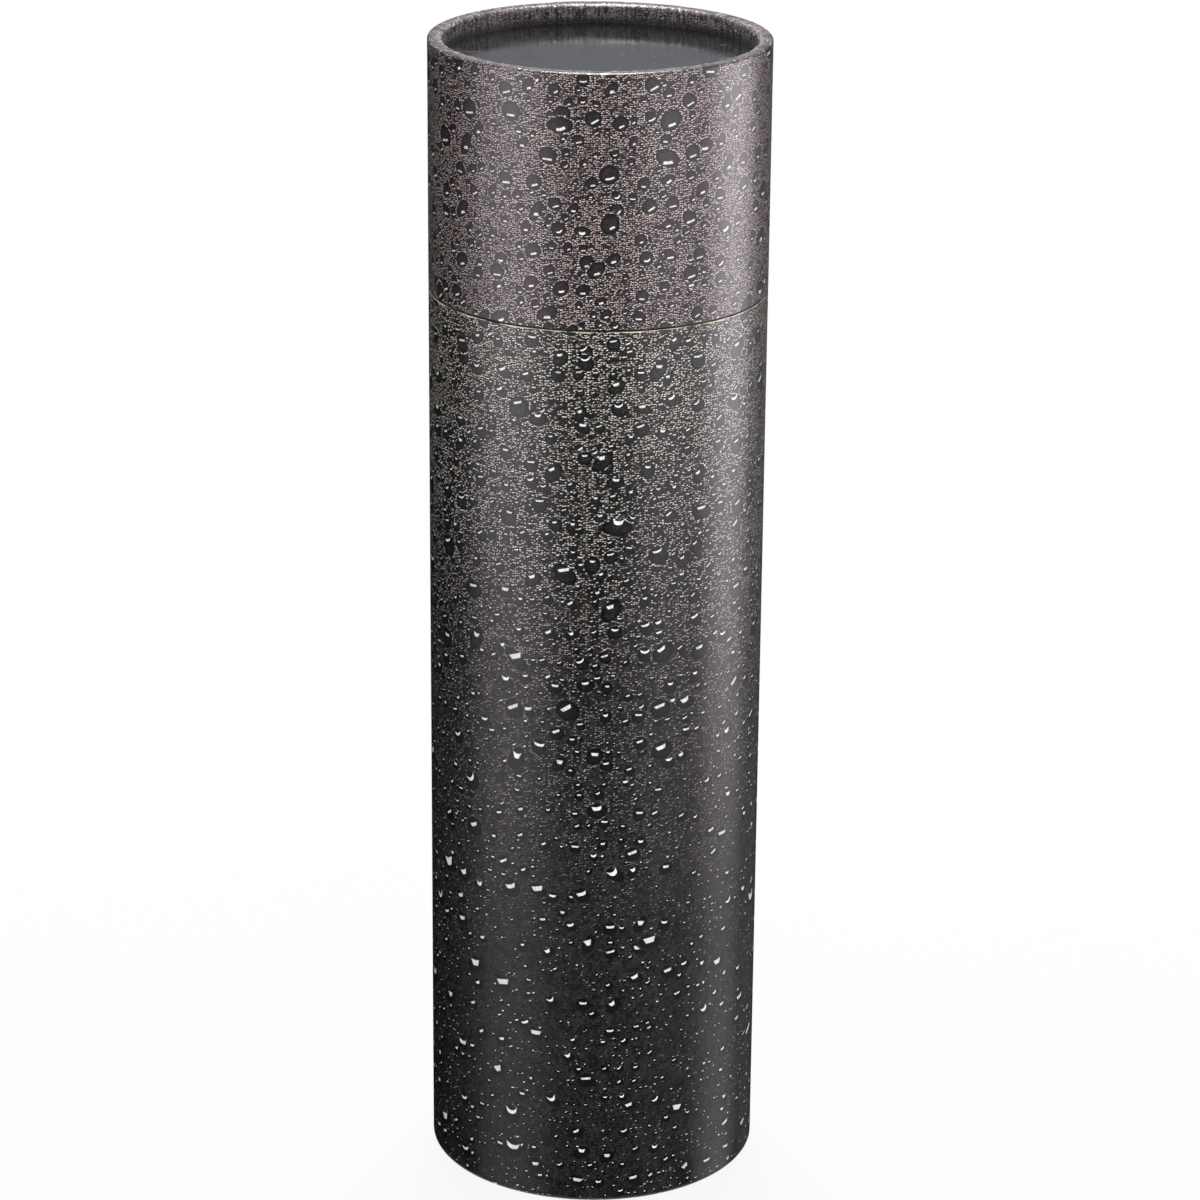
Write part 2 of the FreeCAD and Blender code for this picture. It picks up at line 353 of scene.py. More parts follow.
def rim_relief(profile, wrap, seed):
    """How a printed wrap strays from its outline, as a function of arc length and height across.

    The wall waves by a sum of sines of arc and height. Beyond the top of the roll, creases are added: each
    is a ridge of bell section at its own place, leaning by its own slope, that grows as the paper turns in.
    Both die out by a bell curve at the cut edge.
    """
    draw = np.random.default_rng(seed)
    girth = FULL_TURN * profile["girth_radius"]
    waves, wave_height = 7, 90 * MM
    turns = draw.integers(2, 9, waves)
    rises = draw.uniform(-1, 1, waves) * FULL_TURN / wave_height
    phases = draw.uniform(0, FULL_TURN, waves)
    shares = draw.uniform(0.5, 1.0, waves) / turns**0.5
    places = draw.uniform(0, girth, wrap.pleats)
    widths = draw.uniform(0.28, 0.75, wrap.pleats) * MM
    heights = draw.uniform(0.2, 1.0, wrap.pleats) ** 1.6 * wrap.pleat_height
    slopes = draw.normal(0, 0.22, wrap.pleats)
    starts = draw.uniform(-1.2, 1.5, wrap.pleats) * MM
    before_lip, growth, level_edge = 1.5 * MM, 1.6 * MM, 1.5 * MM
    tallest = 1.6 * wrap.pleat_height

    def relief(arc, across):
        depth = np.abs(across)
        turn = FULL_TURN * arc / girth
        sines = np.sin(turns * turn[None, :, None] + rises * depth[:, None, None] + phases) * shares
        lift = profile["outside"][:, None] * wrap.wall_wave * sines.sum(-1) / shares.sum() * 2
        beyond = depth - profile["lip_start"]
        rows = np.flatnonzero((beyond > -before_lip) & (profile["outside"] > 0))
        inner = beyond[rows][:, None, None]
        apart = (arc[None, :, None] - places - slopes * inner + girth / 2) % girth - girth / 2
        grown = np.clip((inner - starts) / growth, 0, 1)
        ridges = np.exp(-((apart / widths) ** 2)) * heights * grown
        lift[rows] += ridges.sum(-1).clip(0, tallest)
        edge = np.exp(-((depth / level_edge) ** 2))[:, None]
        return lift * (1 - edge)

    return relief


def add(tree, kind, inputs=(), operation=None, **settings):
    """Adds a node with its settings and gives its outputs.

    Inputs are in order or by name, each a value or another node's output.
    """
    made = tree.nodes.new(kind)
    if operation:
        made.operation = operation
    for name, setting in settings.items():
        setattr(made, name, setting)
    for key, given in inputs.items() if isinstance(inputs, dict) else enumerate(inputs):
        if isinstance(given, bpy.types.NodeSocket):
            tree.links.new(given, made.inputs[key])
        else:
            made.inputs[key].default_value = given
    return made.outputs


def new_material(name):
    """An empty material, and the node tree to fill."""
    material = bpy.data.materials.new(name)
    material.use_nodes = True
    material.node_tree.nodes.clear()
    return material, material.node_tree


def set_ramp(ramp, stops):
    """Gives a colour ramp its stops, each a position and a colour."""
    while len(ramp.elements) < len(stops):
        ramp.elements.new(1.0)
    for element, (position, shade) in zip(ramp.elements, stops):
        element.position = position
        element.color = opaque(shade)


# The base's print from its foot, 0, to its cut edge, 1: dark of the mist, light of the mist and drop bodies.
BASE_FADE = (
    (0.00, "#2a2829", "#e4e2e3", "#111111"),
    (0.20, "#2d2b2c", "#b4b2b2", "#121212"),
    (0.40, "#302d2d", "#787573", "#121212"),
    (0.60, "#2f2c2b", "#aaa6a3", "#131313"),
    (0.80, "#242120", "#ece7e1", "#131415"),
    (1.00, "#221e1b", "#fff9ef", "#131516"),
)

# Printed drops by size: spacing, least and greatest radius in mm, greatest stretch, wobble of the outline,
# depth of the body's shade and of its dark outline, then at the foot and at the top of the print the share
# of places taken and the glint's size.
DROP_SIZES = (
    (2.6, 0.46, 0.70, 1.15, 0.06, 0.35, 0.70, (0.34, 0.60), (1.8, 1.3)),
    (4.4, 0.85, 1.45, 1.25, 0.08, 0.55, 0.95, (0.25, 0.86), (1.7, 1.2)),
    (8.0, 1.45, 2.30, 1.35, 0.10, 0.75, 0.95, (0.37, 0.94), (1.7, 1.15)),
    (14.0, 2.20, 3.20, 1.45, 0.10, 0.90, 0.95, (0.42, 0.62), (2.2, 1.05)),
)
DROP_SHAPE = ("Spacing", "Least radius", "Greatest radius", "Stretch", "Wobble")
DROP_OUTLINE = "#050505"

# The turned-in lip: the painted shade of its creases, and past the top of the roll where its print gets
# paler by a painted highlight and where it gets dark towards the disc by painted shade, each as a first and
# last distance in mm and a tone.
CREASE_PAINTED_SHADE = "#141112"
LIP_PAINTED_LIGHT_AND_SHADE = ((1.6, 3.1, 2.2), (5.4, 7.7, 0.12))
PALEST_INK = 0.95
FILM_IOR = 1.5


def drop_radius(tree, given, luck, room):
    """A drop's radius in mm: small ones are more common than large ones, and each keeps inside its cell."""
    small = add(tree, MATH, (luck, 1.3), "POWER")[0]
    sizes = {"To Min": given["Least radius"], "To Max": given["Greatest radius"]}
    radius = add(tree, RANGE, {"Value": small, **sizes})[0]
    room_mm = add(tree, MATH, (room, given["Spacing"]), "MULTIPLY")[0]
    room_mm = add(tree, MATH, (room_mm, 1.1), "MULTIPLY")[0]
    return add(tree, MATH, (radius, room_mm), "MINIMUM")[0]


def place_in_drop(tree, given, grid, middle, per_mm, radius):
    """A place seen from its drop's middle, in drop radii, shifted by a noise that makes outlines wobble."""
    away = add(tree, VECTOR, (grid, middle), "SUBTRACT")[0]
    away = add(tree, VECTOR, {0: away, "Scale": given["Spacing"]}, "SCALE")[0]
    per_radius = add(tree, MATH, (1.0, radius), "DIVIDE")[0]
    away = add(tree, VECTOR, {0: away, "Scale": per_radius}, "SCALE")[0]
    ripple_scale = add(tree, MATH, (per_mm, 2.4), "MULTIPLY")[0]
    ripples = {"Vector": given["Place"], "Scale": ripple_scale, "Detail": 0.0}
    ripple = add(tree, NOISE, ripples, **FLAT)["Color"]
    ripple = add(tree, VECTOR, (ripple, (0.5, 0.5, 0.5)), "SUBTRACT")[0]
    ripple = add(tree, VECTOR, {0: ripple, "Scale": given["Wobble"]}, "SCALE")[0]
    return add(tree, VECTOR, (away, ripple), "ADD")[0]


def drop_reach(tree, away, tilt_luck, stretch_luck, greatest_stretch):
    """How far out in its drop a place lies, 1 on the outline: an oval of its own stretch and tilt."""
    tilt = add(tree, RANGE, {"Value": tilt_luck, "To Min": -1.2, "To Max": 0.9})[0]
    turned = add(tree, ROTATE, {"Vector": away, "Angle": tilt}, **ABOUT_Z)[0]
    often_round = add(tree, MATH, (stretch_luck, 2.2), "POWER")[0]
    stretch = add(tree, RANGE, {"Value": often_round, "To Min": 1.0, "To Max": greatest_stretch})[0]
    turned = add(tree, SPLIT, {"Vector": turned})
    wide = add(tree, MATH, (turned[0], stretch), "DIVIDE")[0]
    tall = add(tree, MATH, (turned[1], stretch), "MULTIPLY")[0]
    oval = add(tree, JOIN, (wide, tall))[0]
    return add(tree, VECTOR, (oval,), "LENGTH")["Value"]


def drop_glint(tree, taken, away, luck, more_luck, size, rise):
    """A drop's glint: a dash of its own slant and bend, off the middle by the rise and wider outwards.

    Lengths are drop radii. The dash fades at its ends and sides, and a noise along it makes it uneven.
    """
    slant = add(tree, RANGE, {"Value": more_luck[1], "To Min": 0.15, "To Max": -0.6})[0]
    dash = add(tree, ROTATE, {"Vector": away, "Angle": slant}, **ABOUT_Z)[0]
    dash = add(tree, SPLIT, {"Vector": dash})
    centre = add(tree, MATH, (rise, size), "DIVIDE")[0]
    centre = add(tree, MATH, (centre, 0.45), "MULTIPLY")[0]
    bend = add(tree, MATH, (more_luck[2], 3.0), "POWER")[0]
    bend = add(tree, MATH, (bend, 1.1), "MULTIPLY")[0]
    sag = add(tree, MATH, (dash[0], dash[0]), "MULTIPLY")[0]
    sag = add(tree, MATH, (sag, bend, centre), "MULTIPLY_ADD")[0]
    level = add(tree, MATH, (dash[1], sag), "SUBTRACT")[0]
    outward = add(tree, MATH, (level, rise), "MULTIPLY")[0]
    half = add(tree, RANGE, {"Value": luck[2], "To Min": 0.3, "To Max": 0.6})[0]
    wider = add(tree, MATH, (size, 0.25, 0.75), "MULTIPLY_ADD")[0]
    half = add(tree, MATH, (half, wider), "MULTIPLY")[0]
    half = add(tree, MATH, (outward, 0.45, half), "MULTIPLY_ADD")[0]
    often_thin = add(tree, MATH, (more_luck[0], 3.0), "POWER")[0]
    thick = add(tree, RANGE, {"Value": often_thin, "To Min": 0.11, "To Max": 0.22})[0]
    thick = add(tree, MATH, (thick, size), "MULTIPLY")[0]
    shares = []
    for distance, end, full in ((dash[0], half, 0.75), (level, thick, 0.6)):
        off = add(tree, MATH, (distance,), "ABSOLUTE")[0]
        off = add(tree, MATH, (off, end), "DIVIDE")[0]
        shares.append(add(tree, RANGE, {"Value": off, "From Min": 1.0, "From Max": full}, **SMOOTH)[0])
    fan = add(tree, JOIN, (dash[0], luck[0], luck[1]))[0]
    fan = add(tree, NOISE, {"Vector": fan, "Scale": 7.0, "Detail": 1.0})["Fac"]
    uneven = {"From Min": 0.35, "From Max": 0.55, "To Min": 0.65, "To Max": 1.0}
    fan = add(tree, RANGE, {"Value": fan, **uneven})[0]
    glint = shares[0]
    for share in (shares[1], taken, fan):
        glint = add(tree, MATH, (glint, share), "MULTIPLY")[0]
    return glint


def drop_layer():
    """Node group for one size of printed water drops, each in its own cell of a scattered grid.

    A cell's drop has its own radius, stretch and tilt, and inside it lies a glint. The group gives where the
    drop clears the print round it, its body, its outline, its glint, the height in it and a number of its
    own. Places and sizes are millimetres on the sheet.
    """
    name = "printed water drops"
    if name in bpy.data.node_groups:
        return bpy.data.node_groups[name]
    tree = bpy.data.node_groups.new(name, "ShaderNodeTree")
    tree.interface.new_socket("Place", in_out="INPUT", socket_type="NodeSocketVector")
    for socket in (*DROP_SHAPE, "Share", "Glint size", "Rise"):
        tree.interface.new_socket(socket, in_out="INPUT", socket_type="NodeSocketFloat")
    for socket in ("Clear", "Body", "Rim", "Glint", "Depth", "Luck"):
        tree.interface.new_socket(socket, in_out="OUTPUT", socket_type="NodeSocketFloat")
    given = add(tree, "NodeGroupInput")

    per_mm = add(tree, MATH, (1.0, given["Spacing"]), "DIVIDE")[0]
    grid = add(tree, VECTOR, {0: given["Place"], "Scale": per_mm}, "SCALE")[0]
    scatter = {"Vector": grid, "Scale": 1.0, "Randomness": 0.72}
    cell = add(tree, CELLS, scatter, feature="F1", **FLAT_CELLS)
    room = add(tree, CELLS, scatter, feature="N_SPHERE_RADIUS", **FLAT_CELLS)["Radius"]
    luck = add(tree, SPLIT_COLOUR, {"Color": cell["Color"]})
    more_luck = add(tree, "ShaderNodeTexWhiteNoise", {"Vector": cell["Color"]}, noise_dimensions="3D")
    more_luck = add(tree, SPLIT_COLOUR, {"Color": more_luck["Color"]})
    radius = drop_radius(tree, given, luck[0], room)
    away = place_in_drop(tree, given, grid, cell["Position"], per_mm, radius)
    reach = drop_reach(tree, away, luck[2], more_luck[0], given["Stretch"])
    taken = add(tree, MATH, (luck[1], given["Share"]), "LESS_THAN")[0]
    clear = add(tree, RANGE, {"Value": reach, "From Min": 1.32, "From Max": 1.16})[0]
    clear = add(tree, MATH, (clear, taken), "MULTIPLY")[0]
    body = add(tree, RANGE, {"Value": reach, "From Min": 1.06, "From Max": 0.94}, **SMOOTH)[0]
    body = add(tree, MATH, (body, taken), "MULTIPLY")[0]
    rim = add(tree, RANGE, {"Value": reach, "From Min": 0.58, "From Max": 0.92}, **SMOOTH)[0]
    rim = add(tree, MATH, (rim, body), "MULTIPLY")[0]
    glint = drop_glint(tree, taken, away, luck, more_luck, given["Glint size"], given["Rise"])
    depth = add(tree, SPLIT, {"Vector": away})[1]
    found = {"Clear": clear, "Body": body, "Rim": rim, "Glint": glint, "Depth": depth, "Luck": more_luck[2]}
    add(tree, "NodeGroupOutput", found)
    return tree


def printed_mist(tree, place, spacing_mm, rise, level):
    """The printed mist: fine droplets, each shaded on one side and lit by a dash on the other.

    The real ones are finer still, and are drawn as coarse as they need to show. Each lies in a cell of a
    scattered grid, a little wider than tall, and leans its own way. Its ground darkens away from the side
    that the rise gives, and its dash lies towards it and dies out at both ends. Each has its own shade and
    brightness, and lit ones are rarer at the foot of the print. Returns the ground's shade and the light.
    """
    cells = (1 / (1.05 * spacing_mm), 1 / (0.95 * spacing_mm), 1.0)
    grid = add(tree, VECTOR, (place, cells), "MULTIPLY")[0]
    scatter = {"Vector": grid, "Scale": 1.0, "Randomness": 0.75}
    cell = add(tree, CELLS, scatter, feature="F1", **FLAT_CELLS)
    luck = add(tree, SPLIT_COLOUR, {"Color": cell["Color"]})
    away = add(tree, VECTOR, (grid, cell["Position"]), "SUBTRACT")[0]
    lean = add(tree, RANGE, {"Value": luck[2], "To Min": -0.5, "To Max": 0.35})[0]
    away = add(tree, ROTATE, {"Vector": away, "Angle": lean}, **ABOUT_Z)[0]
    away = add(tree, SPLIT, {"Vector": away})
    outward = add(tree, MATH, (away[1], rise), "MULTIPLY")[0]
    sides = {"From Min": -0.45, "From Max": 0.15, "To Min": 0.15, "To Max": 1.0}
    shaded_side = add(tree, RANGE, {"Value": outward, **sides}, **SMOOTH)[0]
    shade = add(tree, RANGE, {"Value": luck[1], "To Min": 0.4, "To Max": 1.5})[0]
    shade = add(tree, MATH, (shade, shaded_side), "MULTIPLY")[0]

    off_dash = add(tree, MATH, (outward, 0.16), "SUBTRACT")[0]
    off_dash = add(tree, MATH, (off_dash,), "ABSOLUTE")[0]
    sideways = add(tree, MATH, (away[0],), "ABSOLUTE")[0]
    lengths = {"From Min": 0.2, "From Max": 0.8, "To Min": 0.32, "To Max": 0.46}
    half_length = add(tree, RANGE, {"Value": level, **lengths})[0]
    across, along = (
        add(tree, RANGE, {"Value": distance, "From Min": end, "From Max": full}, **SMOOTH)[0]
        for distance, end, full in ((off_dash, 0.25, 0.1), (sideways, half_length, 0.25))
    )
    patches = {"Vector": place, "Scale": 1 / 5, "Detail": 3.0, "Roughness": 0.6}
    patches = add(tree, NOISE, patches, **FLAT)["Fac"]
    strengths = {"From Min": 0.3, "From Max": 0.7, "To Min": 0.82, "To Max": 1.24}
    strength = add(tree, RANGE, {"Value": patches, **strengths})[0]
    lit_share = add(tree, RANGE, {"Value": level, "From Min": 0.25, "From Max": 1.0})[0]
    lit_share = add(tree, MATH, (lit_share, 0.86, 0.035), "MULTIPLY_ADD")[0]
    lit_share = add(tree, MATH, (lit_share, strength), "MULTIPLY")[0]
    unlit = add(tree, MATH, (1.0, lit_share), "SUBTRACT")[0]
    bright = add(tree, RANGE, {"Value": luck[0], "From Min": unlit, "From Max": 1.01})[0]
    bright = add(tree, MATH, (bright, 0.75), "POWER")[0]
    light = add(tree, MATH, (across, along), "MULTIPLY")[0]
    light = add(tree, MATH, (light, bright), "MULTIPLY")[0]
    shade = add(tree, MATH, (shade, strength), "MULTIPLY")[0]
    return shade, light


def printed_drops(tree, place, upward, rise, mist, body_colour, glint_colour):
    """Drops of each size printed over the mist, from the smallest.

    Each clears the smaller ones round it, to a halo of lighter mist, and has a dark body, less dark low in
    it, with a darker outline, and its glint. Outlines and halos die out towards the foot of the print.
    """
    outline = add(tree, RANGE, {"Value": upward, "From Min": 0.25, "From Max": 0.7})[0]
    lighter = add(tree, RANGE, {"Value": outline, "To Min": 1.0, "To Max": 1.5})[0]
    halo = add(tree, VECTOR, {0: mist, "Scale": lighter}, "SCALE")[0]
    ink = mist
    for *shape, body_shade, edge_share, shares, glint_sizes in DROP_SIZES:
        foot_to_top = {"Value": upward, "From Min": 0.38, "From Max": 0.74}
        share, glint_size = (
            add(tree, RANGE, {**foot_to_top, "To Min": ends[0], "To Max": ends[1]})[0]
            for ends in (shares, glint_sizes)
        )
        inputs = {"Place": place, "Share": share, "Glint size": glint_size, "Rise": rise}
        inputs.update(zip(DROP_SHAPE, shape))
        drops = add(tree, "ShaderNodeGroup", inputs, node_tree=drop_layer())
        body = add(tree, MATH, (drops["Body"], 0.96), "MULTIPLY")[0]
        low_to_high = {"Value": drops["Depth"], "From Min": -0.9, "From Max": 0.9}
        tones = {"To Min": 1.6 * body_shade, "To Max": 0.9 * body_shade}
        tone = add(tree, RANGE, {**low_to_high, **tones})[0]
        shaded = add(tree, VECTOR, {0: body_colour, "Scale": tone}, "SCALE")[0]
        edge = add(tree, MATH, (drops["Rim"], outline), "MULTIPLY")[0]
        edge = add(tree, MATH, (edge, edge_share), "MULTIPLY")[0]
        lit = add(tree, RANGE, {"Value": drops["Luck"], "To Min": 0.8, "To Max": 1.0})[0]
        lit = add(tree, MATH, (drops["Glint"], lit), "MULTIPLY")[0]
        dark = opaque(linear(DROP_OUTLINE))
        for cover, over in ((drops["Clear"], halo), (body, shaded), (edge, dark), (lit, glint_colour)):
            ink = add(tree, MIX, {"Factor": cover, "A": ink, "B": over}, **RGBA)["Result"]
    return ink


def pleated_lip(tree, ink, place, inside, lip_mm, crease_painted_light):
    """The print past the top of the roll, where the turned-in paper is creased.

    It is drawn out in streaks of painted crease shade and light, made paler by a painted highlight, and
    where it tucks down to the disc it is darkened by painted shade. Returns the ink, the streaks and how far
    they show.
    """
    ends = {"From Min": lip_mm - 0.9, "From Max": lip_mm + 1.4, "To Max": 0.2}
    lip = add(tree, RANGE, {"Value": inside, **ends}, **SMOOTH)[0]
    drawn = add(tree, VECTOR, (place, (1.0, 0.16, 1.0)), "MULTIPLY")[0]
    streaks = {"Vector": drawn, "Scale": 1 / 0.7, "Detail": 2.0, "Distortion": 0.4}
    streaks = add(tree, NOISE, streaks, **FLAT)["Fac"]
    # Painted shade and light of the creases, strewn as streaks over the lip.
    crease_light_and_shade = add(tree, RANGE, {"Value": streaks, "From Min": 0.42, "From Max": 0.68}, **SMOOTH)[0]
    shades = {"A": opaque(linear(CREASE_PAINTED_SHADE)), "B": opaque(crease_painted_light)}
    crease_light_and_shade = add(tree, MIX, {"Factor": crease_light_and_shade, **shades}, **RGBA)["Result"]
    ink = add(tree, MIX, {"Factor": lip, "A": ink, "B": crease_light_and_shade}, **RGBA)["Result"]
    # Painted highlight paling the lip's upper part, then painted shade darkening it down to the disc.
    for first, last, tone in LIP_PAINTED_LIGHT_AND_SHADE:
        ends = {"From Min": lip_mm + first, "From Max": lip_mm + last, "To Min": 1.0, "To Max": tone}
        tone = add(tree, RANGE, {"Value": inside, **ends}, **SMOOTH)[0]
        ink = add(tree, VECTOR, {0: ink, "Scale": tone}, "SCALE")[0]
    ink = add(tree, VECTOR, (ink, (PALEST_INK,) * 3), "MINIMUM")[0]
    return ink, streaks, lip


def cut_edge(tree, ink, place, inside, core, on_lid):
    """The print at the cut edge: painted shadow of the seam's gap on the lid, chipped to bare paper on the
    base.

    The back of the sheet, past the edge, is bare paper too.
    """
    if on_lid:
        # Painted shadow of the seam's gap: the lid's print darkens within half a millimetre of its cut edge.
        painted_gap_shadow = {"Value": inside, "From Min": 0.2, "From Max": 0.45, "To Min": 0.12}
        painted_gap_shadow = add(tree, RANGE, painted_gap_shadow)[0]
        ink = add(tree, VECTOR, {0: ink, "Scale": painted_gap_shadow}, "SCALE")[0]
    chips = add(tree, NOISE, {"Vector": place, "Scale": 3 / 25, "Detail": 6.0}, **FLAT)["Fac"]
    least_chip, most_chip = (0.0, 0.0) if on_lid else (-0.05, 0.5)
    depths = {"From Min": 0.35, "From Max": 0.7, "To Min": least_chip, "To Max": most_chip}
    chips = add(tree, RANGE, {"Value": chips, **depths})[0]
    bare = add(tree, MATH, (inside, chips), "LESS_THAN")[0]
    return add(tree, MIX, {"Factor": bare, "A": ink, "B": opaque(core)}, **RGBA)["Result"]


def printed_paper(name, look, mist_spacing, fade, toward_rim, sheet_height, lip_start):
    """Coated paper, offset printed and laminated with satin film.

    The film lays a broad soft gloss over the ink. The ink is a fine mist of light dashes on dark, strewn
    with drops of several sizes. fade lists the mist's two colours and the drops' colour by height.
    toward_rim is the sign of the sheet's height on the printed side of its cut edge, and a drop's glint lies
    the other way. Past lip_start the paper is pleated.
    """
    material, tree = new_material(name)
    on_lid = toward_rim > 0
    rise = -1.0 if on_lid else 1.0
    sheet = add(tree, "ShaderNodeUVMap", uv_map="sheet")[0]
    place = add(tree, VECTOR, {0: sheet, "Scale": 1 / MM}, "SCALE")[0]
    height = add(tree, SPLIT, {"Vector": sheet})[1]
    inside = add(tree, MATH, (height, toward_rim / MM), "MULTIPLY")[0]
    foot = 0.0 if on_lid else -sheet_height
    level = add(tree, RANGE, {"Value": height, "From Min": foot, "From Max": foot + sheet_height})[0]
    # Clouds carry the fade up and down the sheet by up to a tenth of its height.
    clouds = {"Vector": place, "Scale": 1 / 42, "Detail": 2.0, "Roughness": 0.55}
    clouds = add(tree, NOISE, clouds, **FLAT)["Fac"]
    shifted = add(tree, MATH, (clouds, 0.5), "SUBTRACT")[0]
    shifted = add(tree, MATH, (shifted, 0.2, level), "MULTIPLY_ADD")[0]
    shades = []
    for column in (1, 2, 3):
        shade = add(tree, "ShaderNodeValToRGB", {"Fac": shifted})["Color"]
        set_ramp(shade.node.color_ramp, [(stop[0], stop[column]) for stop in fade])
        shades.append(shade)
    low, high, drop = shades

    upward = 1.0 if on_lid else shifted
    shade, light = printed_mist(tree, place, mist_spacing / MM, rise, upward)
    ground = add(tree, VECTOR, {0: low, "Scale": shade}, "SCALE")[0]
    mist = add(tree, MIX, {"Factor": light, "A": ground, "B": high}, **RGBA)["Result"]
    ink = printed_drops(tree, place, upward, rise, mist, drop, opaque(look.glint))
    ink, streaks, lip = pleated_lip(tree, ink, place, inside, lip_start / MM, look.lid_high)
    ink = cut_edge(tree, ink, place, inside, look.paper_core, on_lid)

    film = add(tree, NOISE, {"Vector": place, "Scale": 9 / 10, "Detail": 3.0}, **FLAT)["Fac"]
    rough = add(tree, RANGE, {"Value": film, "To Min": 0.28, "To Max": 0.36})[0]
    raised = add(tree, MATH, (streaks, lip, film), "MULTIPLY_ADD")[0]
    bump = add(tree, BUMP, {"Height": raised, "Strength": 0.15, "Distance": 0.06 * MM})[0]
    finish = {"Base Color": ink, "Roughness": rough, "Normal": bump, "IOR": FILM_IOR}
    add(tree, OUTPUT, {"Surface": add(tree, PRINCIPLED, finish)[0]})
    return material


def lid_print(look, profile):
    """The lid's print: one pair of warm greys all over, with each drop's glint low in it."""
    shades = (look.lid_low, look.lid_high, look.lid_drop)
    fade = ((0.0, *shades), (1.0, *shades))
    name = "satin laminated lid print"
    return printed_paper(name, look, look.lid_mist, fade, 1, profile["face_end"], profile["lip_start"])


def base_print(look, profile):
    """The base's print: misty at its cut edge, near black at its foot, with each drop's glint high in it."""
    fade = [(stop[0], *(linear(shade) for shade in stop[1:])) for stop in BASE_FADE]
    low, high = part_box("base_wrap")
    name = "satin laminated base print"
    return printed_paper(name, look, look.base_mist, fade, -1, high.z - low.z, profile["lip_start"])


def finish_piece(piece, material, body, slot, *nodes):
    """Gives a new piece its material and the body it rides on, and hides the nodes it stands for; slot is
    not used.
    """
    piece.data.materials.append(material)
    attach(piece, body)
    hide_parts(*nodes)


def finish_nodes(material, nodes):
    """Gives CAD nodes that stay a better material."""
    for node in nodes:
        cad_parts[node].data.materials.clear()
        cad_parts[node].data.materials.append(material)


class GIFTTUBE_OT_lid_wrap(bpy.types.Operator):
    """Printed paper on the lid, turned in over the rolled rim"""

    bl_idname = "gifttube.lid_wrap"
    bl_label = "Lid wrap"

    def execute(self, context):
        settings = context.scene.gift_tube
        wrap = settings.wrap
        profile = wrap_profile("lid_wrap", "lid_disc_facing", wrap, wrap.lid_edge, wall_step=3.0 * MM)
        relief = rim_relief(profile, wrap, seed=11)
        piece = rolled_sheet("lid_printed_wrap", profile, wrap, wrap.paper, relief, columns=1100)
        finish_piece(piece, lid_print(settings.design, profile), "lid", "lid_print", "lid_wrap")
        return {"FINISHED"}


class GIFTTUBE_OT_base_wrap(bpy.types.Operator):
    """Printed paper on the base, turned in under its rolled foot"""

    bl_idname = "gifttube.base_wrap"
    bl_label = "Base wrap"

    def execute(self, context):
        settings = context.scene.gift_tube
        wrap = settings.wrap
        profile = wrap_profile("base_wrap", "base_disc_facing", wrap, wrap.base_edge, wall_step=5.0 * MM)
        relief = rim_relief(profile, wrap, seed=23)
        piece = rolled_sheet("base_printed_wrap", profile, wrap, wrap.paper, relief, columns=760)
        finish_piece(piece, base_print(settings.design, profile), "base", "base_print", "base_wrap")
        return {"FINISHED"}


# Lint and scratches on the black laminate, and the darker flecks of the plain papers and boards.
LINT = "#c9cccf"
LINING_FLECK = "#b9b0a0"
NECK_FLECK = "#161618"
BOARD_FLECK = "#463f37"


def laminate_marks(tree, place):
    """Share of lint in the laminate's colour: round specks all over, and strokes near its left and right."""
    dust = add(tree, CELLS, {"Vector": place, "Scale": 1 / (3.0 * MM)}, **FLAT_CELLS)
    luck = add(tree, SPLIT_COLOUR, {"Color": dust["Color"]})
    size = add(tree, RANGE, {"Value": luck[0], "From Min": 0.6, "From Max": 1.0, "To Max": 0.09})[0]
    speck = add(tree, MATH, (dust["Distance"], size), "LESS_THAN")[0]
    turned = add(tree, ROTATE, {"Vector": place, "Angle": math.radians(5)}, **ABOUT_Z)[0]
    strokes = (1 / (18 * MM), 1 / (1.6 * MM), 1.0)
    strokes = add(tree, VECTOR, (turned, strokes), "MULTIPLY")[0]
    scratch = add(tree, CELLS, {"Vector": strokes, "Scale": 1.0}, **FLAT_CELLS)
    luck = add(tree, SPLIT_COLOUR, {"Color": scratch["Color"]})
    size = add(tree, RANGE, {"Value": luck[0], "From Min": 0.7, "From Max": 1.0, "To Max": 0.2})[0]
    sideways = add(tree, SPLIT, {"Vector": place})[0]
    sideways = add(tree, MATH, (sideways,), "ABSOLUTE")[0]
    worn = add(tree, RANGE, {"Value": sideways, "From Min": 24 * MM, "From Max": 34 * MM})[0]
    size = add(tree, MATH, (size, worn), "MULTIPLY")[0]
    scratch = add(tree, MATH, (scratch["Distance"], size), "LESS_THAN")[0]
    marks = add(tree, MATH, (speck, scratch), "MAXIMUM")[0]
    return add(tree, MATH, (marks, 0.35), "MULTIPLY")[0]


def black_laminate(look):
    """Black paper under gloss film: a deep, slightly wavy mirror with lint and faint rubbing."""
    material, tree = new_material("black gloss laminate")
    place = add(tree, COORDINATES)["Object"]
    shades = {"A": opaque(look.laminate), "B": opaque(linear(LINT))}
    black = add(tree, MIX, {"Factor": laminate_marks(tree, place), **shades}, **RGBA)["Result"]
    rubbing = {"Vector": place, "Scale": 1 / (14 * MM), "Detail": 4.0}
    rubbing = add(tree, NOISE, rubbing, **FLAT)["Fac"]
    roughs = {"From Min": 0.3, "From Max": 0.7, "To Min": 0.1, "To Max": 0.18}
    rough = add(tree, RANGE, {"Value": rubbing, **roughs})[0]
    peel = add(tree, NOISE, {"Vector": place, "Scale": 1 / (2.6 * MM), "Detail": 1.0}, **FLAT)["Fac"]
    bump = add(tree, BUMP, {"Height": peel, "Strength": 0.25, "Distance": 0.03 * MM})[0]
    finish = {"Base Color": black, "Roughness": rough, "Normal": bump, "IOR": FILM_IOR}
    add(tree, OUTPUT, {"Surface": add(tree, PRINCIPLED, finish)[0]})
    return material


